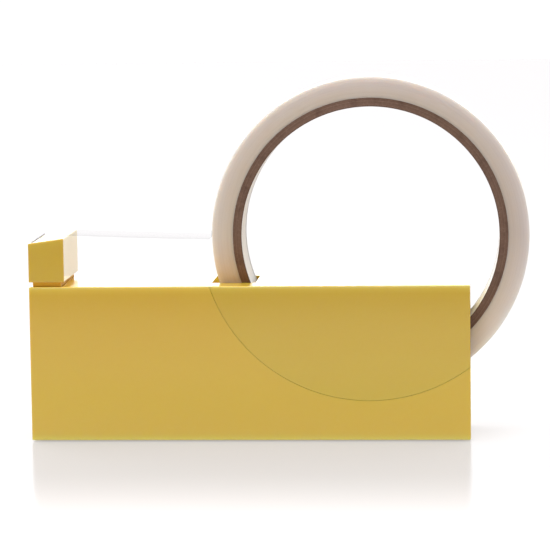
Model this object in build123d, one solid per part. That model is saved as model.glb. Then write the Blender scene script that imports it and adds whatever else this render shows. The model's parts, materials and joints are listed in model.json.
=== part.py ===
from build123d import *
import math
import os

# Desktop tape dispenser: a low block that carries a full 76 mm core tape roll standing in a slot,
# with a serrated cutter head at the other end. Millimetres.
# Origin: centre of the block's footprint, on the surface that it stands on.
# +X runs from the cutter head to the roll, +Y from the front cover to the back, +Z up.

# Block
LENGTH = 130.0
DEPTH = 29.4
TOP = 46.2
UNDERSIDE = 0.4
WALL = 2.2
REAR_WALL = 1.8
EDGE = 0.4
LEFT = -LENGTH / 2
RIGHT = LENGTH / 2
FRONT = -DEPTH / 2
BACK = DEPTH / 2

# Tape roll, resting on two rollers
ROLL_X = 35.6
ROLL_Z = 60.0
TAPE_WIDTH = 18.0
ROLL_FRONT = FRONT + 9.3
ROLL_BACK = ROLL_FRONT + TAPE_WIDTH
LINER_IN = 38.1
LINER_OUT = 38.4
CORE_OUT = 40.68
TAPE_OUT = 46.92
CORE_PROUD = 0.05

# Round pocket that takes the roll, and what fills it
BAY_X = 35.4
BAY_Z = 61.5
BAY_RADIUS = 49.4
BAY_FLOOR = 2.0
HUB_RADIUS = 37.2
SLOT_CLEARANCE = 0.3
SLOT_FRONT = ROLL_FRONT - SLOT_CLEARANCE
SLOT_BACK = BACK - REAR_WALL
COVER_SEAM = 0.08
COVER_BACK = SLOT_FRONT - 0.1

# Rollers under the roll
ROLLER_RADIUS = 3.0
ROLLER_GAP = 0.15
ROLLER_ANGLE = 28.0
ROLLER_LENGTH = 17.6
ROLLER_BORE = 1.05
PIN_RADIUS = 1.0
PIN_GRIP = 3.2
ROLLER_ROOM = 0.5
ROLLER_BOSS = 5.2

# Cutter head
HEAD_WIDTH = 10.55
HEAD_REVEAL = 1.4
HEAD_LOW = 59.1
HEAD_HIGH = 60.6
HEAD_BOTTOM = TOP + HEAD_REVEAL
HEAD_RIGHT = LEFT + HEAD_WIDTH
NECK_INSET = 1.1
BLADE_INSET = 0.7
BLADE_THICK = 0.5
BLADE_HALF = 13.6
BLADE_ROOT = 54.0
BLADE_TIP = 59.95
TOOTH_HEIGHT = 0.8
TEETH = 20
HEAD_SCREW_X = LEFT + HEAD_WIDTH / 2
HEAD_SCREW_Y = 8.0

# Free end of the tape, from the roll to the blade
TAIL_THICK = 0.12
TAIL_GAP = 0.15
TAIL_DROP = 59.05
TAIL_BEND = 0.9
TAIL_LIFT = 61.6

# Underside
PLATE_THICK = 2.0
PLATE_BOTTOM = 0.6
PLATE_TOP = PLATE_BOTTOM + PLATE_THICK
PLATE_GAP = 0.2
PAD_INSET = 3.0
BOSS_RADIUS = 3.4
BOSS_X = 58.6
BOSS_Y = 8.4
BOSS_HEIGHT = 11.0

# Counterweight, standing on the bottom plate
WEIGHT_X0 = -50.0
WEIGHT_X1 = -12.0
WEIGHT_HEIGHT = 32.0
WEIGHT_HALF_DEPTH = 11.5
WEIGHT_HOLES = (-42.0, -20.0)

# Fixings of the hub and the cover, as (x, z) places seen from the front
HUB_SCREWS = ((15.0, 38.0), (35.4, 40.5), (56.0, 38.0))
MAGNETS = ((24.5, 36.0), (46.3, 36.0), (35.4, 29.8))
LOCATORS = ((7.5, 42.0), (61.0, 43.0))
MAGNET_RADIUS = 4.0
MAGNET_THICK = 2.0
LOCATOR_RADIUS = 1.2
LOCATOR_FIT = 0.05
INSERT_RADIUS = 1.9
INSERT_LENGTH = 5.0
SCREW_RADIUS = 1.25
SCREW_HEAD = 2.4


def block(x0, x1, y0, y1, z0, z1):
    """A box between two corners."""
    middle = Pos((x0 + x1) / 2, (y0 + y1) / 2, (z0 + z1) / 2)
    return middle * Box(x1 - x0, y1 - y0, z1 - z0)


def rod(radius, y0, y1, x, z):
    """A cylinder along Y."""
    return Pos(x, (y0 + y1) / 2, z) * Rot(90, 0, 0) * Cylinder(radius, y1 - y0)


def post(radius, x, y, z0, z1):
    """A cylinder along Z."""
    return Pos(x, y, (z0 + z1) / 2) * Cylinder(radius, z1 - z0)


def ring(inner, outer, y0, y1, x, z):
    """A tube along Y."""
    return rod(outer, y0, y1, x, z) - rod(inner, y0 - 1, y1 + 1, x, z)


def roller_axes():
    """The (x, z) places of the two roller axes, the left one first."""
    reach = TAPE_OUT + ROLLER_GAP + ROLLER_RADIUS
    angle = math.radians(ROLLER_ANGLE)
    z = ROLL_Z - reach * math.cos(angle)
    return [(ROLL_X + side * reach * math.sin(angle), z) for side in (-1, 1)]


def outer_block():
    """The whole block with its slightly rounded edges, before it is divided."""
    whole = block(LEFT, RIGHT, FRONT, BACK, UNDERSIDE, TOP)
    return fillet(whole.edges(), EDGE)


def countersunk_screw(length, radius=SCREW_RADIUS, head=SCREW_HEAD):
    """A flat-head screw with a hexagon socket. Its head's face is at the origin and it points along -Z."""
    cone = head - radius
    body = Pos(0, 0, -length / 2) * Cylinder(radius, length)
    body += Pos(0, 0, -cone / 2) * Cone(radius, head, cone)
    socket = extrude(RegularPolygon(radius * 0.85, 6), 0.9)
    return body - Pos(0, 0, -0.9) * socket


def pan_screw(length, radius=1.5, head=2.6, head_height=1.8):
    """A cylinder-head screw. The seat of its head is at the origin and it points along +Z."""
    body = Pos(0, 0, length / 2) * Cylinder(radius, length)
    body += Pos(0, 0, -head_height / 2) * Cylinder(head, head_height)
    socket = extrude(RegularPolygon(radius * 0.85, 6), 1.2)
    return body - Pos(0, 0, -head_height) * socket


def threaded_insert(bore, length=INSERT_LENGTH):
    """A brass sleeve along Z with a waist, its mouth at the origin, reaching up."""
    sleeve = Pos(0, 0, length / 2) * Cylinder(INSERT_RADIUS, length)
    waist = Cylinder(INSERT_RADIUS + 1, 1.0) - Cylinder(INSERT_RADIUS - 0.3, 1.0)
    sleeve -= Pos(0, 0, length / 2) * waist
    return sleeve - Pos(0, 0, length / 2) * Cylinder(bore, length + 2)


def boss_places():
    """The four corners where the bottom plate is screwed on."""
    return [(sx * BOSS_X, sy * BOSS_Y) for sx in (-1, 1) for sy in (-1, 1)]


def corner_boss(x, y):
    """A screw post at a corner of the block, webbed to both of its walls."""
    top = PLATE_TOP + BOSS_HEIGHT
    web = 1.5
    wall_x = math.copysign(RIGHT - WALL / 2, x)
    wall_y = BACK - REAR_WALL / 2 if y > 0 else FRONT + WALL / 2
    shape = post(BOSS_RADIUS, x, y, PLATE_TOP, top)
    shape += block(min(x, wall_x), max(x, wall_x), y - web, y + web, PLATE_TOP, top)
    shape += block(x - web, x + web, min(y, wall_y), max(y, wall_y), PLATE_TOP, top)
    return shape


def make_body_shell():
    """The block's shell: open underneath, with the round pocket for the roll, hub and cover."""
    shell = outer_block()
    cavity = block(LEFT + WALL, RIGHT - WALL, FRONT + WALL, SLOT_BACK, UNDERSIDE - 1, TOP - WALL)
    cavity -= rod(BAY_RADIUS + BAY_FLOOR, FRONT, BACK, BAY_X, BAY_Z)
    for x, z in roller_axes():
        cavity -= rod(ROLLER_BOSS, FRONT, BACK, x, z)
    shell -= cavity
    for x, y in boss_places():
        shell += corner_boss(x, y)
        shell -= post(INSERT_RADIUS, x, y, PLATE_TOP - 1, PLATE_TOP + INSERT_LENGTH + 1)
    shell -= rod(BAY_RADIUS, FRONT - 1, SLOT_BACK, BAY_X, BAY_Z)
    for x, z in roller_axes():
        shell -= rod(ROLLER_RADIUS + ROLLER_ROOM, SLOT_FRONT, SLOT_BACK, x, z)
        shell -= rod(PIN_RADIUS, SLOT_FRONT - PIN_GRIP, BACK + 1, x, z)
    cone = SCREW_HEAD - SCREW_RADIUS
    for x, z in HUB_SCREWS:
        shell -= rod(SCREW_RADIUS, SLOT_BACK - 1, BACK + 1, x, z)
        shell -= Pos(x, BACK - cone / 2, z) * Rot(-90, 0, 0) * Cone(SCREW_RADIUS, SCREW_HEAD, cone)
    for y in (-HEAD_SCREW_Y, HEAD_SCREW_Y):
        shell -= post(1.5, HEAD_SCREW_X, y, TOP - WALL - 1, TOP + 1)
    return shell


def make_bottom_plate():
    """The plate that closes the underside and carries the counterweight."""
    gap = PLATE_GAP
    plate = block(
        LEFT + WALL + gap, RIGHT - WALL - gap, FRONT + WALL + gap, SLOT_BACK - gap, PLATE_BOTTOM, PLATE_TOP
    )
    plate = fillet(plate.edges().filter_by(Axis.Z), 1.0)
    cone = SCREW_HEAD - SCREW_RADIUS
    places = boss_places() + [(x, 0.0) for x in WEIGHT_HOLES]
    for x, y in places:
        sink = Pos(x, y, PLATE_BOTTOM + cone / 2) * Rot(180, 0, 0) * Cone(SCREW_RADIUS, SCREW_HEAD, cone)
        plate -= post(SCREW_RADIUS, x, y, 0, PLATE_TOP + 1) + sink
    return plate


def upward_screws(places, length):
    """Countersunk screws driven up through the bottom plate."""
    return [Pos(x, y, PLATE_BOTTOM) * Rot(180, 0, 0) * countersunk_screw(length) for x, y in places]


def make_anti_slip_pad():
    """The silicone sheet that the block stands on."""
    pad = block(LEFT + PAD_INSET, RIGHT - PAD_INSET, FRONT + PAD_INSET, BACK - PAD_INSET, 0, PLATE_BOTTOM)
    return fillet(pad.edges().filter_by(Axis.Z), 3.0)


def make_counterweight():
    """The steel block that keeps the dispenser down while tape is torn off."""
    depth = WEIGHT_HALF_DEPTH
    weight = block(WEIGHT_X0, WEIGHT_X1, -depth, depth, PLATE_TOP, PLATE_TOP + WEIGHT_HEIGHT)
    weight = chamfer(weight.edges(), 0.8)
    for x in WEIGHT_HOLES:
        weight -= post(SCREW_RADIUS, x, 0, PLATE_TOP - 1, PLATE_TOP + 9)
    return weight


def segment(radius, y0, y1, inset=0.0):
    """The part of a disc about the pocket's axis that lies in the block, its sides moved in by inset."""
    room = block(LEFT, RIGHT - inset, y0, y1, UNDERSIDE, TOP - inset)
    return rod(radius - inset, y0, y1, BAY_X, BAY_Z) & room


def make_hub():
    """The round-bottomed block inside the core: cored from behind and screwed to the rear wall."""
    hub = outer_block() & segment(HUB_RADIUS, SLOT_FRONT, SLOT_BACK)
    core = segment(HUB_RADIUS, SLOT_FRONT + WALL, SLOT_BACK + 1, inset=WALL)
    for x, z in HUB_SCREWS:
        core -= rod(BOSS_RADIUS, SLOT_FRONT, BACK, x, z)
    for x, z in MAGNETS:
        core -= rod(MAGNET_RADIUS + 1.2, SLOT_FRONT, SLOT_FRONT + MAGNET_THICK + 1.5, x, z)
    for x, z in LOCATORS:
        core -= rod(LOCATOR_RADIUS + 1.4, SLOT_FRONT, SLOT_FRONT + 6.5, x, z)
    hub -= core
    for x, z in HUB_SCREWS:
        hub -= rod(INSERT_RADIUS, SLOT_BACK - INSERT_LENGTH - 1, SLOT_BACK + 1, x, z)
    for x, z in MAGNETS:
        hub -= rod(MAGNET_RADIUS, SLOT_FRONT - 1, SLOT_FRONT + MAGNET_THICK, x, z)
    for x, z in LOCATORS:
        hub -= rod(LOCATOR_RADIUS + LOCATOR_FIT, SLOT_FRONT - 1, SLOT_FRONT + 5, x, z)
    return hub


def make_front_cover():
    """The circular-segment cover, flush with the block's front, top and right end."""
    radius = BAY_RADIUS - COVER_SEAM
    cover = outer_block() & segment(radius, FRONT, COVER_BACK)
    core = segment(HUB_RADIUS, FRONT + WALL, COVER_BACK + 1, inset=WALL)
    for x, z in MAGNETS:
        core -= rod(MAGNET_RADIUS + 1.2, COVER_BACK - MAGNET_THICK - 1.5, COVER_BACK, x, z)
        core -= rod(1.5, FRONT, COVER_BACK, x, z)
    for x, z in LOCATORS:
        core -= rod(LOCATOR_RADIUS + 1.4, FRONT, COVER_BACK, x, z)
    cover -= core
    for x, z in MAGNETS:
        cover -= rod(MAGNET_RADIUS, COVER_BACK - MAGNET_THICK, COVER_BACK + 1, x, z)
    for x, z in LOCATORS:
        cover -= rod(LOCATOR_RADIUS, COVER_BACK - 4.5, COVER_BACK + 1, x, z)
    return cover


def make_cutter_head():
    """The head on its recessed neck, with the slot that holds the blade."""
    outline = Polyline(
        (LEFT, HEAD_BOTTOM),
        (HEAD_RIGHT, HEAD_BOTTOM),
        (HEAD_RIGHT, HEAD_HIGH),
        (LEFT, HEAD_LOW),
        close=True,
    )
    head = extrude(Plane.XZ * make_face(outline), DEPTH / 2, both=True)
    head = fillet(head.edges(), EDGE * 0.75)
    head += block(
        LEFT + NECK_INSET, HEAD_RIGHT - NECK_INSET, FRONT + NECK_INSET, BACK - NECK_INSET, TOP, HEAD_BOTTOM + 0.5
    )
    blade_x = LEFT + BLADE_INSET
    head -= block(blade_x, blade_x + BLADE_THICK, -BLADE_HALF, BLADE_HALF, BLADE_ROOT, HEAD_HIGH + 1)
    for y in (-HEAD_SCREW_Y, HEAD_SCREW_Y):
        head -= post(INSERT_RADIUS, HEAD_SCREW_X, y, TOP - 1, TOP + INSERT_LENGTH + 1)
    return head


def make_cutter_blade():
    """The steel blade: a strip with a row of triangular teeth along its upper edge."""
    pitch = 2 * BLADE_HALF / TEETH
    valley = BLADE_TIP - TOOTH_HEIGHT
    points = [(-BLADE_HALF, BLADE_ROOT), (-BLADE_HALF, valley)]
    for i in range(TEETH):
        start = -BLADE_HALF + i * pitch
        points.append((start + pitch / 2, BLADE_TIP))
        points.append((start + pitch, valley))
    points.append((BLADE_HALF, BLADE_ROOT))
    face = make_face(Polyline(*points, close=True))
    strip = extrude(Plane.YZ * face, BLADE_THICK)
    return Pos(LEFT + BLADE_INSET, 0, 0) * strip


def make_tape_tail():
    """The film that peels off the roll, crosses to the head and ends over the blade's teeth."""
    start_x = ROLL_X - TAPE_OUT - TAIL_GAP - TAIL_THICK / 2
    half = TAIL_THICK / 2
    peel_z = TAIL_DROP + half
    tip_x = LEFT + BLADE_INSET
    path = FilletPolyline(
        (start_x, TAIL_LIFT),
        (start_x, peel_z),
        (HEAD_RIGHT, HEAD_HIGH + half),
        radius=TAIL_BEND,
    )
    over_head = Polyline(
        (HEAD_RIGHT, HEAD_HIGH + half),
        (tip_x + 2.6, HEAD_LOW + 0.52 + half),
        (tip_x + 0.4, BLADE_TIP + 0.03 + half),
        (tip_x, BLADE_TIP + 0.03 + half),
    )
    line = trace(path + over_head, TAIL_THICK)
    film = extrude(Plane.XZ * line, TAPE_WIDTH / 2, both=True)
    return Pos(0, (ROLL_FRONT + ROLL_BACK) / 2, 0) * film


def make_roller(x, z):
    """A plastic sleeve that the roll turns on, with chamfered ends."""
    middle = (SLOT_FRONT + SLOT_BACK) / 2
    half = ROLLER_LENGTH / 2
    sleeve = ring(ROLLER_BORE, ROLLER_RADIUS, middle - half, middle + half, x, z)
    return chamfer(sleeve.edges(), 0.25)


def make_roller_pin(x, z):
    """The steel pin that a roller turns on."""
    pin = rod(PIN_RADIUS, SLOT_FRONT - PIN_GRIP, BACK - 0.3, x, z)
    return chamfer(pin.edges(), 0.2)


def make_tube(inner, outer, proud):
    """A ring of the roll, standing proud of the tape's edges by a little."""
    return ring(inner, outer, ROLL_FRONT - proud, ROLL_BACK + proud, ROLL_X, ROLL_Z)


def discs(places, y0, y1, radius):
    """Short rods along Y, one at each place."""
    return [rod(radius, y0, y1, x, z) for x, z in places]


def save(name, shape):
    """Writes one node's STEP file. A list becomes a group of separate solids."""
    if isinstance(shape, list):
        shape = Compound(children=[solid for part in shape for solid in part.solids()])
    export_step(shape, f"parts/{name}.step")


def main():
    os.makedirs("parts", exist_ok=True)
    left_axis, right_axis = roller_axes()
    corners = boss_places()
    weight_places = [(x, 0.0) for x in WEIGHT_HOLES]
    head_places = [(HEAD_SCREW_X, y) for y in (-HEAD_SCREW_Y, HEAD_SCREW_Y)]

    save("body_shell", make_body_shell())
    save("bottom_plate", make_bottom_plate())
    save("bottom_plate_screws", upward_screws(corners, 7.0))
    save("body_inserts", [Pos(x, y, PLATE_TOP) * threaded_insert(SCREW_RADIUS) for x, y in corners])
    save("anti_slip_pad", make_anti_slip_pad())
    save("counterweight", make_counterweight())
    save("counterweight_screws", upward_screws(weight_places, 9.0))

    save("hub", make_hub())
    save("hub_screws", [Pos(x, BACK, z) * Rot(-90, 0, 0) * countersunk_screw(7.0) for x, z in HUB_SCREWS])
    into_hub = Rot(90, 0, 0) * threaded_insert(SCREW_RADIUS)
    save("hub_inserts", [Pos(x, SLOT_BACK, z) * into_hub for x, z in HUB_SCREWS])
    save("hub_magnets", discs(MAGNETS, SLOT_FRONT, SLOT_FRONT + MAGNET_THICK, MAGNET_RADIUS))

    save("front_cover", make_front_cover())
    save("cover_magnets", discs(MAGNETS, COVER_BACK - MAGNET_THICK, COVER_BACK, MAGNET_RADIUS))
    save("cover_locating_pins", discs(LOCATORS, COVER_BACK - 4.5, SLOT_FRONT + 4.5, LOCATOR_RADIUS))

    save("cutter_head", make_cutter_head())
    save("head_screws", [Pos(x, y, TOP - WALL) * pan_screw(7.0) for x, y in head_places])
    save("head_inserts", [Pos(x, y, TOP) * threaded_insert(1.5) for x, y in head_places])
    save("cutter_blade", make_cutter_blade())
    save("tape_tail", make_tape_tail())

    save("core_liner", make_tube(LINER_IN, LINER_OUT, CORE_PROUD))
    save("tape_core", make_tube(LINER_OUT, CORE_OUT, CORE_PROUD))
    save("tape_winding", make_tube(CORE_OUT, TAPE_OUT, 0))

    save("roller_left", make_roller(*left_axis))
    save("roller_right", make_roller(*right_axis))
    save("roller_pin_left", make_roller_pin(*left_axis))
    save("roller_pin_right", make_roller_pin(*right_axis))


main()
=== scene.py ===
import json
import math
import random

import bmesh
import bpy
from mathutils import Euler, Matrix, Vector


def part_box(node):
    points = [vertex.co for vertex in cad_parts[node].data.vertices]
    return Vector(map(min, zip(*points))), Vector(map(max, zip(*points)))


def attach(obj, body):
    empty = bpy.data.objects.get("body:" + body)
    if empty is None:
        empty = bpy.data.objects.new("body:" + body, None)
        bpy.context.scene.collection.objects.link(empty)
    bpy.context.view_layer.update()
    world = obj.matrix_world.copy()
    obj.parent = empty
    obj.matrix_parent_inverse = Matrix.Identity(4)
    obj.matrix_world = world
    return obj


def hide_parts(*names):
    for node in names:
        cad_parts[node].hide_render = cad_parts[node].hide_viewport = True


# A desktop tape dispenser. The roll, the free tape and the blade are built here; every other piece is
# a CAD node with a material.

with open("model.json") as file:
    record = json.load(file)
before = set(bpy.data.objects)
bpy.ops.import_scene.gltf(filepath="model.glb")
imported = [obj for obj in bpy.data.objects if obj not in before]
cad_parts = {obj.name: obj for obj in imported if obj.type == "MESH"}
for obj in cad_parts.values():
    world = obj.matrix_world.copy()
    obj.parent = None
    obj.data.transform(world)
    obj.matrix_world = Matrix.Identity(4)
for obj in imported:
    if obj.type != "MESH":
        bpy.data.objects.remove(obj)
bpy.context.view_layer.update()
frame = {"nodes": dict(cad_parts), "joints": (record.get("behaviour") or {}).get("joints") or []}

# ---------------------------------------------------------------------------------------------
# Places, in metres, from the frame
# ---------------------------------------------------------------------------------------------

MM = 0.001
JOINTS = {joint["name"]: joint for joint in frame["joints"]}
ROLL_CENTRE = Vector(JOINTS["roll_spin"]["pos_m"])
WINDING_LOW, WINDING_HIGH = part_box("tape_winding")
CORE_LOW, CORE_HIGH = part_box("tape_core")
LINER_LOW, LINER_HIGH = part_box("core_liner")
SHELL_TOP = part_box("body_shell")[1].z
HEAD_LOW, HEAD_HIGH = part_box("cutter_head")
BLADE_LOW, BLADE_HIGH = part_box("cutter_blade")
TAIL_LOW, TAIL_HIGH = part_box("tape_tail")

# The head's top climbs from its left end, where the blade stands above it, to its right side
BLADE_RISE = 0.85 * MM
HEAD_TOP_LEFT = BLADE_HIGH.z - BLADE_RISE
HEAD_SLOPE = (HEAD_HIGH.z - HEAD_TOP_LEFT) / (HEAD_HIGH.x - HEAD_LOW.x)
NECK_TOP = SHELL_TOP + 1.35 * MM

TAPE_OUT = (WINDING_HIGH.z - WINDING_LOW.z) / 2
CORE_OUT = (CORE_HIGH.z - CORE_LOW.z) / 2
LINER_OUT = (LINER_HIGH.z - LINER_LOW.z) / 2
LINER_WALL = 0.3 * MM
LINER_IN = LINER_OUT - LINER_WALL
TAPE_FRONT = WINDING_LOW.y
TAPE_BACK = WINDING_HIGH.y

# Painted light brightens the pocket's walls, which lie inside this radius and this distance from the
# roll's middle plane
POCKET_RADIUS = TAPE_OUT + 4.5 * MM
POCKET_HALF = TAPE_BACK + 2.0 * MM


# ---------------------------------------------------------------------------------------------
# Small helpers
# ---------------------------------------------------------------------------------------------


def linear(r, g, b):
    """An sRGB colour, 0 to 255, as linear RGBA."""
    out = []
    for value in (r, g, b):
        c = value / 255
        out.append(c / 12.92 if c <= 0.04045 else ((c + 0.055) / 1.055) ** 2.4)
    return (*out, 1.0)


def new_object(name, mesh, body, material, smooth_angle):
    """Links a mesh, gives it its material and makes it ride on a CAD body."""
    obj = bpy.data.objects.new(name, mesh)
    bpy.context.scene.collection.objects.link(obj)
    mesh.materials.append(material)
    smooth_by_angle(mesh, smooth_angle)
    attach(obj, body)
    return obj


def smooth_by_angle(mesh, degrees):
    """Smooth shading, with sharp edges where two faces meet at more than the angle."""
    bm = bmesh.new()
    bm.from_mesh(mesh)
    limit = math.radians(degrees)
    for face in bm.faces:
        face.smooth = True
    for edge in bm.edges:
        edge.smooth = len(edge.link_faces) == 2 and edge.calc_face_angle(0.0) < limit
    bm.to_mesh(mesh)
    bm.free()


def mesh_from(name, vertices, faces):
    """A mesh with its faces turned outwards."""
    mesh = bpy.data.meshes.new(name)
    mesh.from_pydata(vertices, [], faces)
    bm = bmesh.new()
    bm.from_mesh(mesh)
    bmesh.ops.recalc_face_normals(bm, faces=bm.faces)
    bm.to_mesh(mesh)
    bm.free()
    return mesh


def revolve(name, outline, steps, radius_shift=None):
    """A closed outline of (radius, y) points turned about the roll's axis.
    radius_shift(angle, radius, y) moves a point in or out."""
    vertices = []
    faces = []
    count = len(outline)
    for i in range(steps):
        angle = 2 * math.pi * i / steps
        for radius, y in outline:
            r = radius + (radius_shift(angle, radius, y) if radius_shift else 0.0)
            x = ROLL_CENTRE.x + r * math.cos(angle)
            z = ROLL_CENTRE.z + r * math.sin(angle)
            vertices.append((x, y, z))
    for i in range(steps):
        a = i * count
        b = ((i + 1) % steps) * count
        for j in range(count):
            k = (j + 1) % count
            faces.append((a + j, a + k, b + k, b + j))
    return mesh_from(name, vertices, faces)


# ---------------------------------------------------------------------------------------------
# Node graphs
# ---------------------------------------------------------------------------------------------


# A face is a wall up to the first height of its normal, and level from the second
WALL_NORMAL_Z = 0.35
LEVEL_NORMAL_Z = 0.90


class Graph:
    """A material's nodes, with the Principled shader already there."""

    def __init__(self, name):
        self.material = bpy.data.materials.new(name)
        self.material.use_nodes = True
        self.tree = self.material.node_tree
        self.shader = self.tree.nodes["Principled BSDF"]
        self.place = self.node("ShaderNodeTexCoord").outputs["Object"]

    def node(self, kind, **settings):
        made = self.tree.nodes.new(kind)
        for key, value in settings.items():
            setattr(made, key, value)
        return made

    def link(self, source, target):
        self.tree.links.new(source, target)

    def put(self, socket, value):
        """Links a socket, or sets a constant."""
        if isinstance(value, bpy.types.NodeSocket):
            self.link(value, socket)
        else:
            socket.default_value = value

    def maths(self, operation, a, b=0.0, clamp=False):
        made = self.node("ShaderNodeMath", operation=operation, use_clamp=clamp)
        self.put(made.inputs[0], a)
        self.put(made.inputs[1], b)
        return made.outputs[0]

    def separate(self, vector):
        """A vector's X, Y and Z."""
        parts = self.node("ShaderNodeSeparateXYZ")
        self.link(vector, parts.inputs[0])
        return tuple(parts.outputs)

    def noise(self, scale, detail=3.0, roughness=0.5, stretch=None):
        """Noise in space. A larger stretch along an axis makes its marks shorter there."""
        made = self.node("ShaderNodeTexNoise")
        source = self.place
        if stretch:
            mapping = self.node("ShaderNodeMapping")
            mapping.inputs["Scale"].default_value = stretch
            self.link(source, mapping.inputs["Vector"])
            source = mapping.outputs["Vector"]
        self.link(source, made.inputs["Vector"])
        made.inputs["Scale"].default_value = scale
        made.inputs["Detail"].default_value = detail
        made.inputs["Roughness"].default_value = roughness
        return made.outputs["Fac"]

    def line_noise(self, value, scale, detail):
        """Noise along one value, such as the radius, which gives rings or stripes."""
        made = self.node("ShaderNodeTexNoise", noise_dimensions="1D")
        self.link(self.maths("MULTIPLY", value, scale), made.inputs["W"])
        made.inputs["Scale"].default_value = 1.0
        made.inputs["Detail"].default_value = detail
        return made.outputs["Fac"]

    def ramp(self, value, stops):
        """The colour at a value, from (position, colour) stops."""
        made = self.node("ShaderNodeValToRGB")
        elements = made.color_ramp.elements
        while len(elements) < len(stops):
            elements.new(0.5)
        for element, (position, colour) in zip(elements, stops):
            element.position = position
            element.color = colour
        self.put(made.inputs["Fac"], value)
        return made.outputs["Color"]

    def mix(self, factor, a, b, blend="MIX"):
        made = self.node("ShaderNodeMix", data_type="RGBA", blend_type=blend)
        self.put(made.inputs["Factor"], factor)
        self.put(made.inputs["A"], a)
        self.put(made.inputs["B"], b)
        return made.outputs["Result"]

    def tint(self, base, colour):
        """The base multiplied by a colour."""
        return self.mix(1.0, base, colour, "MULTIPLY")

    def spread(self, value, low, high):
        """Maps 0..1 to low..high."""
        made = self.node("ShaderNodeMapRange")
        self.put(made.inputs["Value"], value)
        made.inputs["To Min"].default_value = low
        made.inputs["To Max"].default_value = high
        return made.outputs["Result"]

    def bump(self, height, distance, strength, normal=None):
        made = self.node("ShaderNodeBump")
        made.inputs["Strength"].default_value = strength
        made.inputs["Distance"].default_value = distance
        self.put(made.inputs["Height"], height)
        if normal is not None:
            self.link(normal, made.inputs["Normal"])
        return made.outputs["Normal"]

    def radius_from_roll(self):
        """Distance from the roll's axis, the angle about it in turns, and y."""
        x, y, z = self.separate(self.place)
        x = self.maths("SUBTRACT", x, ROLL_CENTRE.x)
        z = self.maths("SUBTRACT", z, ROLL_CENTRE.z)
        square = self.maths("ADD", self.maths("MULTIPLY", x, x), self.maths("MULTIPLY", z, z))
        radius = self.maths("SQRT", square)
        turn = self.maths("DIVIDE", self.maths("ARCTAN2", z, x), 2 * math.pi)
        return radius, turn, y

    def upright_faces(self):
        """1 on walls and 0 on faces that look up or down, with a soft step on rounded edges."""
        geometry = self.node("ShaderNodeNewGeometry")
        normal_z = self.separate(geometry.outputs["True Normal"])[2]
        made = self.node("ShaderNodeMapRange")
        self.link(self.maths("ABSOLUTE", normal_z), made.inputs["Value"])
        made.inputs["From Min"].default_value = WALL_NORMAL_Z
        made.inputs["From Max"].default_value = LEVEL_NORMAL_Z
        made.inputs["To Min"].default_value = 1.0
        made.inputs["To Max"].default_value = 0.0
        return made.outputs["Result"]

    def finish(self, **sockets):
        """Sets the shader's sockets, by name with _ for a space."""
        for key, value in sockets.items():
            self.put(self.shader.inputs[key.replace("_", " ")], value)
        return self.material


# ---------------------------------------------------------------------------------------------
# Materials
# ---------------------------------------------------------------------------------------------


# Painted light: tints from EDGE_DEPTH under a top edge (0) to the edge (1), paler and whiter towards
# the edge, where light comes through the plastic
EDGE_DEPTH = 2.4 * MM
EDGE_LIGHT_TINTS = [
    (0.0, (1.0, 1.0, 1.0, 1.0)),
    (0.47, (1.06, 1.13, 1.35, 1.0)),
    (0.61, (1.12, 1.22, 1.7, 1.0)),
    (0.75, (1.13, 1.31, 2.5, 1.0)),
    (0.90, (1.08, 1.36, 4.2, 1.0)),
    (1.0, (1.00, 1.30, 4.5, 1.0)),
]
# Painted light on the head's walls towards its top edge, in the same way
HEAD_EDGE_LIGHT_TINTS = [
    (0.0, (1.0, 1.0, 1.0, 1.0)),
    (0.6, (1.02, 1.05, 1.1, 1.0)),
    (0.85, (1.06, 1.12, 1.3, 1.0)),
    (1.0, (1.15, 1.30, 2.4, 1.0)),
]
# Painted light: tints from the block's foot (0), paler and whiter there as if lit from the floor, to
# its top (1), a little darker
HEIGHT_LIGHT_TINTS = [
    (0.008, (1.14, 1.55, 4.4, 1.0)),
    (0.020, (1.12, 1.48, 3.2, 1.0)),
    (0.032, (1.10, 1.36, 2.5, 1.0)),
    (0.050, (1.10, 1.25, 2.1, 1.0)),
    (0.08, (1.10, 1.21, 1.95, 1.0)),
    (0.30, (1.05, 1.14, 1.45, 1.0)),
    (0.585, (1.0, 1.04, 1.0, 1.0)),
    (0.91, (0.955, 0.96, 0.93, 1.0)),
]

DUST = linear(236, 212, 130)
# Painted light: the pocket's walls round the roll, from POCKET_DROP under the top downwards, are
# brightened to this pale yellow
POCKET_PAINTED_LIGHT = linear(255, 224, 92)
POCKET_DROP = 0.4 * MM
# Painted reflection: the head's right side, within HEAD_SIDE_SKIN of it, is tinted cooler and paler
HEAD_SIDE_PAINTED_REFLECTION = (0.86, 0.94, 1.2, 1.0)
HEAD_SIDE_SKIN = 0.05 * MM
# Painted bounce light: below the neck top the head's colour is tinted a deeper orange
NECK_PAINTED_BOUNCE_TINT = (1.28, 1.04, 0.72, 1.0)
MATT_ROUGHNESS = 0.5
GLOSS_LEVEL = 0.5
MATT_GLOSS_LOSS = 0.42


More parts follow.
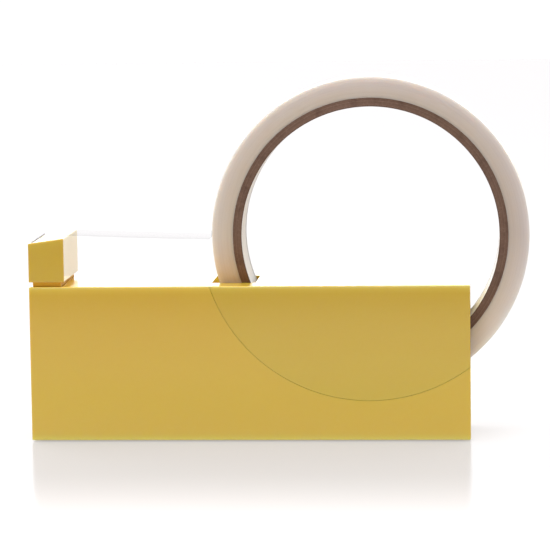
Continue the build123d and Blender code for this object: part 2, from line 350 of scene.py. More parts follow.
def yellow_plastic(
    name, colour, deeper, top, edge, slope=0.0, height=None, matt_below=None, pocket=False, sheen=0.0
):
    """Satin moulded plastic: faint flow mottling, a very fine grain and a little dust in the gloss.

    Its walls get painted light from the stops in edge, paler and whiter up to their top edge. That edge
    lies at the height top, and climbs by slope to the right of the head's left end. A slope also paints
    a cooler, paler reflection on the head's right side.
    height is the height over which HEIGHT_LIGHT_TINTS, painted light from a paler foot, runs.
    matt_below is the height under which the mould was left rough, and under which painted bounce light
    tints the colour a deeper orange. pocket brightens the walls round the roll with painted light.
    sheen is the weight of a soft glow at grazing angles."""
    g = Graph(name)
    x, y, z = g.separate(g.place)
    flow = g.noise(22.0, detail=2.0, stretch=(1.0, 1.0, 2.2))
    speck = g.noise(900.0, detail=4.0, roughness=0.6)
    grain = g.noise(5200.0, detail=2.0)
    waves = g.noise(60.0, detail=1.0)
    base = g.mix(g.spread(flow, 0.2, 0.8), colour, deeper)
    base = g.mix(g.spread(speck, 0.0, 0.05), base, DUST)
    normal = g.bump(grain, 0.006 * MM, 0.3)
    normal = g.bump(waves, 0.03 * MM, 0.4, normal)
    rough = g.spread(g.noise(240.0), 0.10, 0.16)

    # Painted light: walls paler and whiter towards their top edge
    climb = g.maths("MULTIPLY", g.maths("SUBTRACT", x, HEAD_LOW.x), slope)
    below = g.maths("SUBTRACT", g.maths("ADD", top, climb), z)
    nearness = g.maths("SUBTRACT", 1.0, g.maths("DIVIDE", below, EDGE_DEPTH), clamp=True)
    nearness = g.maths("MULTIPLY", nearness, g.upright_faces())
    base = g.tint(base, g.ramp(nearness, edge))
    # Painted light: paler and whiter towards the block's foot, a little darker at its top
    if height is not None:
        base = g.tint(base, g.ramp(g.maths("DIVIDE", z, height, clamp=True), HEIGHT_LIGHT_TINTS))
    # Painted light: the pocket's walls round the roll are brightened to a pale yellow
    if pocket:
        radius = g.radius_from_roll()[0]
        near = g.maths("LESS_THAN", radius, POCKET_RADIUS)
        within = g.maths("LESS_THAN", g.maths("ABSOLUTE", y), POCKET_HALF)
        under_top = g.maths("LESS_THAN", z, SHELL_TOP - POCKET_DROP)
        inside = g.maths("MULTIPLY", g.maths("MULTIPLY", near, within), under_top)
        base = g.mix(inside, base, POCKET_PAINTED_LIGHT)
    # Painted reflection: the head's right side is tinted cooler and paler
    if slope:
        right_side = g.maths("GREATER_THAN", x, HEAD_HIGH.x - HEAD_SIDE_SKIN)
        base = g.mix(right_side, base, g.tint(base, HEAD_SIDE_PAINTED_REFLECTION))
    # Rougher and less glossy under the neck top, where painted bounce light also tints the colour a
    # deeper orange
    if matt_below:
        low = g.maths("LESS_THAN", z, matt_below)
        rough = g.maths("ADD", rough, g.maths("MULTIPLY", low, MATT_ROUGHNESS))
        level = g.maths("SUBTRACT", GLOSS_LEVEL, g.maths("MULTIPLY", low, MATT_GLOSS_LOSS))
        g.link(level, g.shader.inputs["Specular IOR Level"])
        base = g.mix(low, base, g.tint(base, NECK_PAINTED_BOUNCE_TINT))
    return g.finish(
        Base_Color=base,
        Roughness=rough,
        Normal=normal,
        IOR=1.5,
        Subsurface_Weight=0.5,
        Subsurface_Radius=(1.0, 0.75, 0.2),
        Subsurface_Scale=1.1 * MM,
        Sheen_Weight=sheen,
        Sheen_Roughness=0.4,
    )


# Painted light and shade round the roll: warm yellow light low on its left, near the pocket's walls,
# lighter low on its right, darker on its right side and cooler at its top. 0 and 1 at its left side,
# 0.25 at its foot, 0.5 at its right side, 0.75 at its top
ROLL_LIGHT_TINTS = [
    (0.0, (0.95, 0.95, 0.93, 1.0)),
    (0.02, (0.95, 0.89, 0.82, 1.0)),
    (0.05, (0.92, 0.73, 0.46, 1.0)),
    (0.12, (0.98, 0.94, 0.84, 1.0)),
    (0.40, (1.12, 1.13, 1.14, 1.0)),
    (0.50, (0.84, 0.83, 0.88, 1.0)),
    (0.62, (0.90, 0.91, 0.96, 1.0)),
    (0.75, (0.97, 0.99, 1.06, 1.0)),
    (1.0, (0.95, 0.95, 0.93, 1.0)),
]


# From the core (0) to the roll's outside (1): the film's own tan near the core, paler towards the rim
# with painted light, where light comes through the outer layers
LAYER_AND_RIM_LIGHT_TINTS = [
    (0.0, linear(204, 182, 157)),
    (0.12, linear(210, 190, 167)),
    (0.45, linear(216, 199, 181)),
    (0.85, linear(221, 211, 202)),
    (1.0, linear(226, 219, 214)),
]
RIM_SKIN = 0.10 * MM


def film_winding():
    """The edges of hundreds of layers of clear film: tan near the core, and pale at the rim partly with
    painted light. Painted light and shade also vary round the roll.
    """
    g = Graph("wound_film")
    radius, turn, y = g.radius_from_roll()
    depth = g.maths("DIVIDE", g.maths("SUBTRACT", radius, CORE_OUT), TAPE_OUT - CORE_OUT, clamp=True)
    shade = g.ramp(depth, LAYER_AND_RIM_LIGHT_TINTS)
    # Painted light and shade round the roll
    shade = g.tint(shade, g.ramp(g.maths("ADD", turn, 0.5), ROLL_LIGHT_TINTS))
    rings = g.line_noise(radius, 9000.0, detail=4.0)
    broad = g.line_noise(radius, 1500.0, detail=2.0)
    shade = g.mix(g.spread(rings, 0.0, 0.22), shade, linear(188, 172, 158))
    shade = g.mix(g.spread(broad, 0.0, 0.20), shade, linear(245, 240, 232))
    clouds = g.noise(90.0, detail=3.0)
    shade = g.mix(g.spread(clouds, 0.0, 0.10), shade, linear(205, 194, 180))
    outside = g.maths("GREATER_THAN", radius, TAPE_OUT - RIM_SKIN)
    bands = g.spread(g.line_noise(y, 1400.0, detail=3.0), 0.35, 0.75)
    shade = g.mix(g.maths("MULTIPLY", outside, bands), shade, linear(206, 190, 166))
    normal = g.bump(rings, 0.03 * MM, 0.8)
    rough = g.spread(rings, 0.30, 0.48)
    return g.finish(
        Base_Color=shade,
        Roughness=rough,
        Normal=normal,
        IOR=1.49,
        Subsurface_Weight=0.75,
        Subsurface_Radius=(1.0, 0.85, 0.65),
        Subsurface_Scale=3.0 * MM,
    )


# No loose fibre up to the first value of the noise, and the most of it from the second
FIBRE_STEPS = [(0.50, (0.0, 0.0, 0.0, 1.0)), (0.75, (0.55, 0.55, 0.55, 1.0))]
# Painted light round the roll, placed as above: warm yellow light low on its left, near the pocket's
# walls, and a paler top
BOARD_LIGHT_TINTS = [
    (0.0, (1.0, 1.0, 1.0, 1.0)),
    (0.025, (1.0, 0.92, 0.80, 1.0)),
    (0.055, (0.95, 0.76, 0.42, 1.0)),
    (0.12, (1.0, 1.0, 1.0, 1.0)),
    (0.70, (1.0, 1.0, 1.0, 1.0)),
    (0.78, (1.15, 1.15, 1.2, 1.0)),
    (0.90, (1.0, 1.0, 1.0, 1.0)),
]


def core_board():
    """Wound grey-brown board: plies that show as rings on the cut edge, with loose fibres, and painted
    light round it, warm low on the left and paler at the top.
    """
    g = Graph("core_board")
    radius, turn, _ = g.radius_from_roll()
    plies = g.line_noise(radius, 2600.0, detail=1.0)
    fibre = g.noise(1300.0, detail=5.0, roughness=0.7)
    patch = g.noise(260.0, detail=4.0, roughness=0.6)
    base = g.mix(plies, linear(68, 45, 34), linear(140, 109, 90))
    base = g.mix(g.ramp(fibre, FIBRE_STEPS), base, linear(150, 122, 104))
    base = g.mix(g.ramp(patch, FIBRE_STEPS), base, linear(66, 44, 34))
    # Painted light round the core
    base = g.tint(base, g.ramp(g.maths("ADD", turn, 0.5), BOARD_LIGHT_TINTS))
    normal = g.bump(fibre, 0.08 * MM, 0.8)
    normal = g.bump(plies, 0.10 * MM, 0.7, normal)
    return g.finish(Base_Color=base, Roughness=0.85, Normal=normal, IOR=1.45)


# How many times the liner's seam is crossed, round the core and along it. Its half width is a share
# of the way from one crossing to the next.
SEAMS_PER_TURN = 3.0
SEAMS_PER_METRE = 24.0
SEAM_HALF_WIDTH = 0.006
BACK_GREY_WIDTH = 3.5 * MM
CUT_SKIN = 0.02 * MM


def liner_paper():
    """White paper wound in a helix inside the core, with its butt seam just visible.
    It is grey towards the back, and its cut ends are brown."""
    g = Graph("liner_paper")
    _, turn, y = g.radius_from_roll()
    around = g.maths("MULTIPLY", turn, SEAMS_PER_TURN)
    phase = g.maths("FRACT", g.maths("ADD", around, g.maths("MULTIPLY", y, SEAMS_PER_METRE)))
    seam = g.maths("LESS_THAN", g.maths("ABSOLUTE", g.maths("SUBTRACT", phase, 0.5)), SEAM_HALF_WIDTH)
    fibre = g.noise(1100.0, detail=5.0, roughness=0.6)
    base = g.mix(g.spread(fibre, 0.0, 0.6), linear(228, 228, 231), linear(212, 210, 211))
    base = g.mix(g.maths("MULTIPLY", seam, 0.35), base, linear(150, 128, 112))
    towards_back = g.maths("GREATER_THAN", y, TAPE_BACK - BACK_GREY_WIDTH)
    base = g.mix(g.maths("MULTIPLY", towards_back, 0.6), base, linear(150, 150, 155))
    off_centre = g.maths("ABSOLUTE", g.maths("SUBTRACT", y, (TAPE_FRONT + TAPE_BACK) / 2))
    cut = g.maths("GREATER_THAN", off_centre, (TAPE_BACK - TAPE_FRONT) / 2 - CUT_SKIN)
    base = g.mix(cut, base, linear(98, 72, 57))
    height = g.maths("SUBTRACT", g.maths("MULTIPLY", fibre, 0.4), seam)
    normal = g.bump(height, 0.04 * MM, 0.7)
    return g.finish(Base_Color=base, Roughness=0.62, Normal=normal, IOR=1.45)


# The film's front edge is the part beyond this share of its width, and is denser by FILM_EDGE_HAZE
FILM_EDGE = 0.80
FILM_EDGE_HAZE = 0.03


def clear_film():
    """Clear adhesive film: slightly hazy, with faint lengthwise lines. It is denser towards the
    front, and most of all along its front edge."""
    g = Graph("clear_film")
    haze = g.noise(500.0, detail=3.0, stretch=(0.05, 1.0, 1.0))
    normal = g.bump(haze, 0.02 * MM, 0.4)
    rough = g.spread(haze, 0.10, 0.20)
    tint = g.mix(g.spread(haze, 0.0, 1.0), linear(92, 92, 94), linear(78, 79, 81))
    y = g.separate(g.place)[1]
    from_back = g.maths("SUBTRACT", TAPE_BACK, y)
    across = g.maths("DIVIDE", from_back, TAPE_BACK - TAPE_FRONT, clamp=True)
    at_edge = g.maths("GREATER_THAN", across, FILM_EDGE)
    body = g.maths("MULTIPLY", g.spread(haze, 0.85, 1.15), g.spread(across, 0.040, 0.080))
    alpha = g.maths("ADD", body, g.maths("MULTIPLY", at_edge, FILM_EDGE_HAZE))
    return g.finish(
        Base_Color=tint,
        Roughness=rough,
        Normal=normal,
        IOR=1.47,
        Specular_IOR_Level=0.0,
        Alpha=alpha,
    )


def scaled(colour, factor):
    """A colour made lighter or darker, its alpha kept at 1."""
    return tuple(min(1.0, channel * factor) for channel in colour[:3]) + (1.0,)


def ground_steel(name, tone, along):
    """Ground steel with fine scratches, which along stretches as in Graph.noise."""
    g = Graph(name)
    lines = g.noise(900.0, detail=3.0, stretch=along)
    cloud = g.noise(160.0, detail=3.0)
    base = g.mix(g.spread(lines, 0.2, 0.8), tone, scaled(tone, 1.25))
    base = g.mix(g.spread(cloud, 0.0, 0.25), base, scaled(tone, 0.7))
    normal = g.bump(lines, 0.01 * MM, 0.5)
    return g.finish(Base_Color=base, Roughness=g.spread(lines, 0.22, 0.38), Normal=normal, Metallic=1.0)


def blackened_iron():
    """Sawn steel bar with a dark oxide skin."""
    g = Graph("blackened_iron")
    patch = g.noise(220.0, detail=6.0, roughness=0.6)
    saw = g.noise(700.0, detail=2.0, stretch=(20.0, 1.0, 1.0))
    base = g.mix(g.spread(patch, 0.0, 1.0), linear(92, 92, 96), linear(62, 62, 66))
    base = g.mix(g.spread(saw, 0.0, 0.3), base, linear(130, 128, 126))
    normal = g.bump(saw, 0.05 * MM, 0.6)
    return g.finish(Base_Color=base, Roughness=g.spread(patch, 0.42, 0.62), Normal=normal, Metallic=0.9)


def turned_brass():
    """Brass with fine rings from turning."""
    g = Graph("turned_brass")
    lines = g.noise(1200.0, detail=2.0, stretch=(1.0, 1.0, 12.0))
    base = g.mix(g.spread(lines, 0.0, 1.0), linear(196, 158, 82), linear(224, 190, 112))
    return g.finish(Base_Color=base, Roughness=g.spread(lines, 0.24, 0.36), Metallic=1.0)


def nickel_plate():
    """Bright nickel plating on the magnets."""
    g = Graph("nickel_plate")
    cloud = g.noise(400.0, detail=3.0)
    base = g.mix(g.spread(cloud, 0.0, 1.0), linear(196, 195, 192), linear(214, 213, 210))
    return g.finish(Base_Color=base, Roughness=g.spread(cloud, 0.10, 0.20), Metallic=1.0)


def dark_plastic():
    """Dark grey, finely grained plastic."""
    g = Graph("dark_plastic")
    grain = g.noise(2600.0, detail=3.0)
    base = g.mix(g.spread(g.noise(80.0), 0.0, 1.0), linear(58, 58, 60), linear(74, 74, 76))
    normal = g.bump(grain, 0.03 * MM, 0.6)
    return g.finish(Base_Color=base, Roughness=g.spread(grain, 0.5, 0.65), Normal=normal)


def silicone():
    """Dark grey, dull silicone rubber."""
    g = Graph("silicone_pad")
    grain = g.noise(1800.0, detail=4.0)
    base = g.mix(g.spread(g.noise(120.0), 0.0, 1.0), linear(64, 62, 60), linear(84, 82, 80))
    normal = g.bump(grain, 0.04 * MM, 0.6)
    return g.finish(Base_Color=base, Roughness=g.spread(grain, 0.7, 0.85), Normal=normal)


def acetal():
    """White, slightly waxy plastic with turning marks."""
    g = Graph("acetal")
    grain = g.noise(1500.0, detail=2.0, stretch=(1.0, 8.0, 1.0))
    base = g.mix(g.spread(grain, 0.0, 1.0), linear(240, 239, 234), linear(228, 227, 221))
    normal = g.bump(grain, 0.01 * MM, 0.5)
    return g.finish(Base_Color=base, Roughness=g.spread(grain, 0.32, 0.45), Normal=normal)


YELLOW = (0.708, 0.451, 0.040, 1.0)
YELLOW_DEEP = (0.689, 0.432, 0.034, 1.0)
YELLOW_COVER = (0.665, 0.442, 0.043, 1.0)
YELLOW_COVER_DEEP = (0.646, 0.424, 0.037, 1.0)
YELLOW_HEAD = (0.650, 0.440, 0.058, 1.0)
YELLOW_HEAD_DEEP = (0.632, 0.421, 0.052, 1.0)

BODY_PLASTIC = yellow_plastic(
    "yellow_body", YELLOW, YELLOW_DEEP, SHELL_TOP, EDGE_LIGHT_TINTS, height=SHELL_TOP, pocket=True
)
COVER_PLASTIC = yellow_plastic(
    "yellow_cover", YELLOW_COVER, YELLOW_COVER_DEEP, SHELL_TOP, EDGE_LIGHT_TINTS, height=SHELL_TOP
)
HEAD_PLASTIC = yellow_plastic(
    "yellow_head",
    YELLOW_HEAD,
    YELLOW_HEAD_DEEP,
    HEAD_TOP_LEFT,
    HEAD_EDGE_LIGHT_TINTS,
    slope=HEAD_SLOPE,
    matt_below=NECK_TOP,
    sheen=0.35,
)
STEEL = ground_steel("zinc_steel", linear(188, 188, 190), along=(1.0, 1.0, 1.0))
PIN_STEEL = ground_steel("pin_steel", linear(196, 196, 198), along=(12.0, 1.0, 12.0))
BLADE_STEEL = ground_steel("blade_steel", linear(150, 148, 152), along=(30.0, 1.0, 30.0))
BRASS = turned_brass()
NICKEL = nickel_plate()
ACETAL = acetal()

CAD_MATERIALS = {
    "body_shell": BODY_PLASTIC,
    "hub": BODY_PLASTIC,
    "front_cover": COVER_PLASTIC,
    "cutter_head": HEAD_PLASTIC,
    "bottom_plate": dark_plastic(),
    "anti_slip_pad": silicone(),
    "counterweight": blackened_iron(),
    "bottom_plate_screws": STEEL,
    "counterweight_screws": STEEL,
    "hub_screws": STEEL,
    "head_screws": STEEL,
    "body_inserts": BRASS,
    "hub_inserts": BRASS,
    "head_inserts": BRASS,
    "hub_magnets": NICKEL,
    "cover_magnets": NICKEL,
    "cover_locating_pins": PIN_STEEL,
    "roller_pin_left": PIN_STEEL,
    "roller_pin_right": PIN_STEEL,
    "roller_left": ACETAL,
    "roller_right": ACETAL,
}


def dress_cad_nodes():
    """Gives each CAD node that stays its material."""
    for name, material in CAD_MATERIALS.items():
        obj = frame["nodes"][name]
        obj.data.materials.clear()
        obj.data.materials.append(material)


# ---------------------------------------------------------------------------------------------
# The roll
# ---------------------------------------------------------------------------------------------


# The winding's sides, and its rim, which is rounded over two steps. The outermost layer ends in a
# step of LAYER_STEP, felt down to LAYER_REACH.
LAYERS_SHOWN = 34
LAYER_SETBACK = 0.07 * MM
LAYER_STEP = 0.05 * MM
LAYER_REACH = 0.15 * MM
RIM = 0.12 * MM
RIM_TUCK = 0.03 * MM
RIM_BEVEL = 0.05 * MM
RIM_WIDTH = 0.2 * MM
RIM_WEAR = 0.01 * MM
RIM_PARTS = 8
# The core's cut edges and the liner's ends
PLIES_SHOWN = 14
PLY_SETBACK = 0.10 * MM
GLUE_GAP = 0.01 * MM
LINER_NIP = 0.08 * MM
LINER_BEVEL = 0.02 * MM
LINER_PARTS = 6
# Faces round the roll
WINDING_STEPS = 320
CORE_STEPS = 256


def layered_side(inner, outer, y, inward, count, depth, rng):
    """Points from inner to outer radius along one side of the roll. The layers between the two ends
    are set back by up to depth. inward is +1 where the roll's middle lies towards +Y."""
    points = []
    drift = 0.0
    for i in range(count + 1):
        t = i / count
        drift = 0.6 * drift + 0.4 * rng.random()
        setback = 0.0 if i in (0, count) else depth * drift
        points.append((inner + (outer - inner) * t, y + inward * setback))
    return points


def make_winding():
    """The tape's layers: edges that aren't quite level, and a rounded rim at each side."""
    rng = random.Random(7)
    outer = TAPE_OUT - RIM
    outline = layered_side(CORE_OUT, outer, TAPE_FRONT, 1, LAYERS_SHOWN, LAYER_SETBACK, rng)
    back = layered_side(CORE_OUT, outer, TAPE_BACK, -1, LAYERS_SHOWN, LAYER_SETBACK, rng)
    outline += [(TAPE_OUT - RIM_TUCK, TAPE_FRONT + RIM_BEVEL), (TAPE_OUT, TAPE_FRONT + RIM_WIDTH)]
    span = TAPE_BACK - TAPE_FRONT
    for i in range(1, RIM_PARTS):
        outline.append((TAPE_OUT - RIM_WEAR * rng.random(), TAPE_FRONT + span * i / RIM_PARTS))
    outline += [(TAPE_OUT, TAPE_BACK - RIM_WIDTH), (TAPE_OUT - RIM_TUCK, TAPE_BACK - RIM_BEVEL)]
    outline += reversed(back)

    def step_at_peel(angle, radius, _):
        """The outermost layer ends where the free tape leaves the roll."""
        if radius < TAPE_OUT - LAYER_REACH:
            return 0.0
        past = (angle - math.pi) % (2 * math.pi)
        return -LAYER_STEP * (1 - past / (2 * math.pi))

    mesh = revolve("tape_roll_winding", outline, WINDING_STEPS, step_at_peel)
    obj = new_object("tape_roll_winding", mesh, "roll", film_winding(), 40)
    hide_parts("tape_winding")


def make_core():
    """The board core: plies stand at slightly different heights on its cut edges."""
    rng = random.Random(11)
    outer = CORE_OUT - GLUE_GAP
    front = layered_side(LINER_OUT, outer, CORE_LOW.y, 1, PLIES_SHOWN, PLY_SETBACK, rng)
    back = layered_side(LINER_OUT, outer, CORE_HIGH.y, -1, PLIES_SHOWN, PLY_SETBACK, rng)
    mesh = revolve("board_core", front + back[::-1], CORE_STEPS)
    obj = new_object("board_core", mesh, "roll", core_board(), 50)
    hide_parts("tape_core")


def make_liner():
    """The paper liner, with softly rounded ends."""
    low, high = LINER_LOW.y, LINER_HIGH.y
    outer = LINER_OUT - GLUE_GAP
    outline = [
        (LINER_IN + LINER_NIP, low),
        (outer, low + LINER_BEVEL),
        (outer, high - LINER_BEVEL),
        (LINER_IN + LINER_NIP, high),
        (LINER_IN, high - LINER_NIP),
    ]
    for i in range(1, LINER_PARTS):
        outline.append((LINER_IN, high - (high - low) * i / LINER_PARTS))
    outline.append((LINER_IN, low + LINER_NIP))
    mesh = revolve("paper_liner", outline, CORE_STEPS)
    obj = new_object("paper_liner", mesh, "roll", liner_paper(), 40)
    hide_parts("core_liner")


# ---------------------------------------------------------------------------------------------
# The free tape and the blade
# ---------------------------------------------------------------------------------------------

# The blade: its teeth end BLADE_LIP under the CAD's top, are TOOTH high and stand on a bevel of the
# height GRIND. EDGE_FRONT and EDGE_BACK are the cutting edge's two sides, from the blade's left.
BLADE_TEETH = 32
TOOTH_PITCH = (BLADE_HIGH.y - BLADE_LOW.y) / BLADE_TEETH
TOOTH = 0.55 * MM
BLADE_LIP = 0.3 * MM
GRIND = 0.9 * MM
EDGE_FRONT = 0.04 * MM
EDGE_BACK = 0.10 * MM

# The film: its thickness, the bend where it leaves the roll, how far it sags, crowns and ripples on
# its free span, the depth of its zigzag end, how it lands on the head, and its gaps at both ends
FILM = 0.06 * MM
FILM_BEND = 0.9 * MM
FILM_SAG = 0.10 * MM
FILM_CROWN = -0.05 * MM
FILM_RIPPLE = 0.015 * MM
FILM_NOTCH = 0.45 * MM
FILM_LIFT = 0.05 * MM
FILM_LANDING = 2.0 * MM
ROLL_END_GAP = 0.05 * MM
HEAD_EDGE_GAP = 0.01 * MM
TIP_INSET = 0.1 * MM
TIP_GAP = 0.02 * MM
BEND_PARTS = 10
SPAN_PARTS = 24
HEAD_PARTS = 8
BLADE_PARTS = 6
WIDTH_PARTS = 40
# The path's first point on the free span: the roll's side and the bend come before it
SPAN_START = BEND_PARTS + 2


def tail_path():
    """The film's lower side in the XZ plane: off the roll's side, through a bend, along the free span
    to the head's top edge, down the head's top, and up over the blade."""
    right = TAIL_HIGH.x - FILM
    drop = TAIL_LOW.z + FILM
    head_edge = Vector((HEAD_HIGH.x, HEAD_HIGH.z + HEAD_EDGE_GAP))
    points = [Vector((right, TAIL_HIGH.z - ROLL_END_GAP))]
    centre = Vector((right - FILM_BEND, drop + FILM_BEND))
    for i in range(BEND_PARTS + 1):
        angle = -math.pi / 2 * i / BEND_PARTS
        points.append(centre + FILM_BEND * Vector((math.cos(angle), math.sin(angle))))
    start = points[-1]
    for i in range(1, SPAN_PARTS + 1):
        t = i / SPAN_PARTS
        point = start.lerp(head_edge, t)
        points.append(Vector((point.x, point.y - FILM_SAG * math.sin(math.pi * t))))
    tip = Vector((BLADE_LOW.x + TIP_INSET, BLADE_HIGH.z - BLADE_LIP + TIP_GAP))
    land = Vector((BLADE_HIGH.x + FILM_LANDING, 0.0))
    land.y = HEAD_TOP_LEFT + HEAD_SLOPE * (land.x - HEAD_LOW.x) + FILM_LIFT
    for i in range(1, HEAD_PARTS + 1):
        points.append(head_edge.lerp(land, i / HEAD_PARTS))
    for i in range(1, BLADE_PARTS + 1):
        t = i / BLADE_PARTS
        ease = t * t * (3 - 2 * t)
        points.append(Vector((land.x + (tip.x - land.x) * t, land.y + (tip.y - land.y) * ease)))
    return points


def film_vertices(path):
    """The film's lower side, then its upper side, row by row along the path. Both have a slight crown
    and ripple where the film is free, and a zigzag end where the blade cut it."""
    vertices = []
    last = len(path) - 1
    rng = random.Random(3)
    ripple = [rng.uniform(-1, 1) for _ in path]
    for side in (0, 1):
        for i, point in enumerate(path):
            along = (path[min(i + 1, last)] - path[max(i - 1, 0)]).normalized()
            up = Vector((along.y, -along.x))
            if up.y < 0 and abs(along.x) > 0.5:
                up = -up
            shift = up * (FILM * side)
            # 0 at both ends of the free span, 1 in its middle
            free = math.sin(math.pi * min(max((i - SPAN_START) / SPAN_PARTS, 0.0), 1.0))
            for j in range(WIDTH_PARTS + 1):
                t = j / WIDTH_PARTS
                y = TAIL_LOW.y + (TAIL_HIGH.y - TAIL_LOW.y) * t
                crown = FILM_CROWN * (2 * t - 1) ** 2 * free
                wave = FILM_RIPPLE * ripple[i] * math.sin(5 * t) * free
                x = point.x + shift.x
                z = point.y + shift.y + crown + wave
                if i == last:
                    phase = ((y - BLADE_LOW.y) / TOOTH_PITCH) % 1.0
                    x += FILM_NOTCH * abs(2 * phase - 1)
                vertices.append((x, y, z))
    return vertices


def make_tail():
    """The film: a thin closed strip, its two sides joined along all four edges."""
    path = tail_path()
    count = len(path)
    row = WIDTH_PARTS + 1
    upper = count * row
    faces = []
    for i in range(count - 1):
        for j in range(WIDTH_PARTS):
            a = i * row + j
            b = upper + a
            faces.append((a, a + 1, a + row + 1, a + row))
            faces.append((b, b + row, b + row + 1, b + 1))
    for i in range(count - 1):
        for j in (0, WIDTH_PARTS):
            a = i * row + j
            faces.append((a, a + row, upper + a + row, upper + a))
    for j in range(WIDTH_PARTS):
        for i in (0, count - 1):
            a = i * row + j
            faces.append((a, a + 1, upper + a + 1, upper + a))
    mesh = mesh_from("free_tape", film_vertices(path), faces)
    obj = new_object("free_tape", mesh, "block", clear_film(), 30)
    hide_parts("tape_tail")


def make_blade():
    """The blade strip: triangular teeth, ground to an edge from the side that faces the roll."""
    left, right, foot = BLADE_LOW.x, BLADE_HIGH.x, BLADE_LOW.z
    tip = BLADE_HIGH.z - BLADE_LIP
    valley = tip - TOOTH
    grind = valley - GRIND
    columns = 2 * BLADE_TEETH + 1
    vertices = []
    for c in range(columns):
        y = BLADE_LOW.y + TOOTH_PITCH * c / 2
        top = tip if c % 2 else valley
        section = [
            (left, foot),
            (left, grind),
            (left + EDGE_FRONT, top),
            (left + EDGE_BACK, top),
            (right, grind),
            (right, foot),
        ]
        vertices += [(x, y, z) for x, z in section]
    corners = len(section)
    faces = []
    for c in range(columns - 1):
        a = c * corners
        b = a + corners
        for k in range(corners):
            n = (k + 1) % corners
            faces.append((a + k, a + n, b + n, b + k))
    faces.append(tuple(range(corners)))
    faces.append(tuple((columns - 1) * corners + k for k in range(corners)))
    mesh = mesh_from("serrated_blade", vertices, faces)
    obj = new_object("serrated_blade", mesh, "block", BLADE_STEEL, 20)
    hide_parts("cutter_blade")


# ---------------------------------------------------------------------------------------------
# Stage
# ---------------------------------------------------------------------------------------------


def map_smoothly(tree, source, low, high, start, end):
    """A socket that goes from start to end as the source goes from low to high."""
    made = tree.nodes.new("ShaderNodeMapRange")
    made.interpolation_type = "SMOOTHSTEP"
    made.inputs["From Min"].default_value = low
    made.inputs["From Max"].default_value = high
    made.inputs["To Min"].default_value = start
    made.inputs["To Max"].default_value = end
    tree.links.new(source, made.inputs["Value"])
    return made.outputs["Result"]


# Painted light: the floor glows at FLOOR_GLOW, and GLOW_STEP more in front of GLOW_AHEAD, which eases
# off up to GLOW_NEAR, so it is dimmer near the block, where its shade falls.
# Behind the block, from GLOW_FADE to GLOW_GONE, its glow is scaled to GLOW_LEFT.
FLOOR_GLOW = 0.46
GLOW_STEP = 0.80
GLOW_AHEAD = -0.215
GLOW_NEAR = -0.060
GLOW_FADE = 0.10
GLOW_GONE = 0.30
GLOW_LEFT = 1.01
GLOW_COLOUR = (1.0, 0.957, 0.975, 1)
FLOOR_COLOUR = (0.22, 0.22, 0.22, 1)
FLOOR_GLOSS = 0.12
FLOOR_ROUGHNESS = 0.16
FLOOR_FRONT = -0.36
FLOOR_BACK = 3.0
FLOOR_SIDE = 2.0


def make_floor():
    """A wide sheet of white acrylic with a soft, shallow reflection. It glows with painted light,
    dimmer near the block, where its shade falls.
    """
    corners = [
        (-FLOOR_SIDE, FLOOR_FRONT, 0),
        (FLOOR_SIDE, FLOOR_FRONT, 0),
        (FLOOR_SIDE, FLOOR_BACK, 0),
        (-FLOOR_SIDE, FLOOR_BACK, 0),
    ]
    mesh = mesh_from("studio_floor", corners, [(0, 1, 2, 3)])
    obj = bpy.data.objects.new("studio_floor", mesh)
    bpy.context.scene.collection.objects.link(obj)
    material = bpy.data.materials.new("studio_floor")
    material.use_nodes = True
    tree = material.node_tree
    tree.nodes.clear()
    output = tree.nodes.new("ShaderNodeOutputMaterial")
    diffuse = tree.nodes.new("ShaderNodeBsdfDiffuse")
    diffuse.inputs["Color"].default_value = FLOOR_COLOUR
    glow = tree.nodes.new("ShaderNodeEmission")
    glow.inputs["Color"].default_value = GLOW_COLOUR
    place = tree.nodes.new("ShaderNodeTexCoord")
    parts = tree.nodes.new("ShaderNodeSeparateXYZ")
    tree.links.new(place.outputs["Object"], parts.inputs[0])
    y = parts.outputs["Y"]
    ahead = map_smoothly(tree, y, GLOW_AHEAD, GLOW_NEAR, FLOOR_GLOW + GLOW_STEP, FLOOR_GLOW)
    behind = map_smoothly(tree, y, GLOW_FADE, GLOW_GONE, 1.0, GLOW_LEFT)
    strength = tree.nodes.new("ShaderNodeMath")
    strength.operation = "MULTIPLY"
    tree.links.new(ahead, strength.inputs[0])
    tree.links.new(behind, strength.inputs[1])
    tree.links.new(strength.outputs[0], glow.inputs["Strength"])
    lit = tree.nodes.new("ShaderNodeAddShader")
    gloss = tree.nodes.new("ShaderNodeBsdfGlossy")
    gloss.inputs["Color"].default_value = (1, 1, 1, 1)
    gloss.inputs["Roughness"].default_value = FLOOR_ROUGHNESS
    mix = tree.nodes.new("ShaderNodeMixShader")
    mix.inputs["Fac"].default_value = FLOOR_GLOSS
    tree.links.new(diffuse.outputs[0], lit.inputs[0])
    tree.links.new(glow.outputs[0], lit.inputs[1])
    tree.links.new(lit.outputs[0], mix.inputs[1])
    tree.links.new(gloss.outputs[0], mix.inputs[2])
    tree.links.new(mix.outputs[0], output.inputs["Surface"])
    mesh.materials.append(material)


# The directions in which the room's brightness changes, as parts of the unit vector
WINDOW_Z = (0.25, 0.42)
BACK_Y = (0.20, 0.75)
CEILING_Z = (0.55, 0.85)
UNDER_Z = (-0.12, -0.02)
FRONT_LIGHT = 0.38
BACKDROP_LIGHT = 2.6
WINDOW_LIGHT = 1.1
TOP_LIGHT = 1.6
SIDE_SHIFT = 0.35
UNDER_LIGHT = 0.05
SEEN_WHITE = 1.05


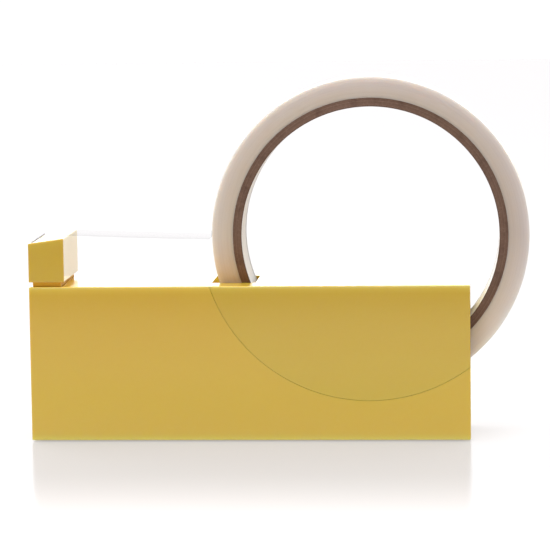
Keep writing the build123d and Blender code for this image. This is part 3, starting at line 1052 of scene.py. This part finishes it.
def make_world():
    """A white room: the backdrop is bright, brighter still above WINDOW_Z, and the side that the
    camera stands on is dimmer. The camera itself sees plain white."""
    world = bpy.data.worlds.new("studio")
    bpy.context.scene.world = world
    world.use_nodes = True
    tree = world.node_tree
    tree.nodes.clear()

    def ramp(source, between, start, end):
        return map_smoothly(tree, source, *between, start, end)

    def maths(operation, a, b):
        made = tree.nodes.new("ShaderNodeMath")
        made.operation = operation
        tree.links.new(a, made.inputs[0])
        tree.links.new(b, made.inputs[1])
        return made.outputs[0]

    coord = tree.nodes.new("ShaderNodeTexCoord")
    parts = tree.nodes.new("ShaderNodeSeparateXYZ")
    tree.links.new(coord.outputs["Generated"], parts.inputs[0])
    x, y, z = parts.outputs
    band = ramp(z, WINDOW_Z, BACKDROP_LIGHT, BACKDROP_LIGHT + WINDOW_LIGHT)
    back = maths("MULTIPLY", band, ramp(y, BACK_Y, 0.0, 1.0))
    front = ramp(y, BACK_Y, FRONT_LIGHT, 0.0)
    around = maths("MULTIPLY", maths("ADD", back, front), ramp(z, CEILING_Z, 1.0, 0.0))
    overhead = ramp(z, CEILING_Z, 0.0, TOP_LIGHT)
    sideways = ramp(x, (-1.0, 1.0), 1.0 + SIDE_SHIFT, 1.0 - SIDE_SHIFT)
    below = ramp(z, UNDER_Z, UNDER_LIGHT, 1.0)
    light = maths("MULTIPLY", maths("MULTIPLY", maths("ADD", around, overhead), sideways), below)
    path = tree.nodes.new("ShaderNodeLightPath")
    pick = tree.nodes.new("ShaderNodeMix")
    pick.inputs["B"].default_value = SEEN_WHITE
    tree.links.new(path.outputs["Is Camera Ray"], pick.inputs["Factor"])
    tree.links.new(light, pick.inputs["A"])
    background = tree.nodes.new("ShaderNodeBackground")
    background.inputs["Color"].default_value = (1, 1, 1, 1)
    tree.links.new(pick.outputs["Result"], background.inputs["Strength"])
    output = tree.nodes.new("ShaderNodeOutputWorld")
    tree.links.new(background.outputs[0], output.inputs["Surface"])


LAMP_PLACE = Vector((0.02, -0.12, 0.9))
LAMP_TARGET = Vector((0.02, 0.0, 0.05))
LAMP_SIZE = 0.5
LAMP_WATTS = 5.0


def make_lamp():
    """A soft square light above the object, a little towards the camera."""
    data = bpy.data.lights.new("overhead", "AREA")
    data.shape = "SQUARE"
    data.size = LAMP_SIZE
    data.energy = LAMP_WATTS
    obj = bpy.data.objects.new("overhead", data)
    bpy.context.scene.collection.objects.link(obj)
    obj.location = LAMP_PLACE
    obj.rotation_euler = (LAMP_TARGET - LAMP_PLACE).to_track_quat("-Z", "Y").to_euler()


# Fitted to the photo's corners and circles: metres, degrees and millimetres
CAMERA_PLACE = Vector((0.0678, -0.8312, 0.1423))
CAMERA_YAW = -4.192
CAMERA_PITCH = -6.468
CAMERA_ROLL = -0.763
CAMERA_LENS = 183.98
CAMERA_SENSOR = 36.0


def make_camera():
    """The photo's viewpoint: a long lens, a little above and to the right of the block."""
    data = bpy.data.cameras.new("camera")
    data.lens = CAMERA_LENS
    data.sensor_width = CAMERA_SENSOR
    data.clip_start = 0.01
    data.clip_end = 50.0
    obj = bpy.data.objects.new("camera", data)
    bpy.context.scene.collection.objects.link(obj)
    aim = Euler((math.radians(90 + CAMERA_PITCH), 0, math.radians(-CAMERA_YAW)), "XYZ")
    turn = aim.to_matrix() @ Matrix.Rotation(math.radians(CAMERA_ROLL), 3, "Z")
    obj.matrix_world = Matrix.Translation(CAMERA_PLACE) @ turn.to_4x4()
    bpy.context.scene.camera = obj


dress_cad_nodes()
make_winding()
make_core()
make_liner()
make_tail()
make_blade()
make_floor()
make_world()
make_lamp()
make_camera()

view = bpy.context.scene.view_settings
view.view_transform = "Standard"
view.look = "None"
view.exposure = 0.0
view.gamma = 1.0
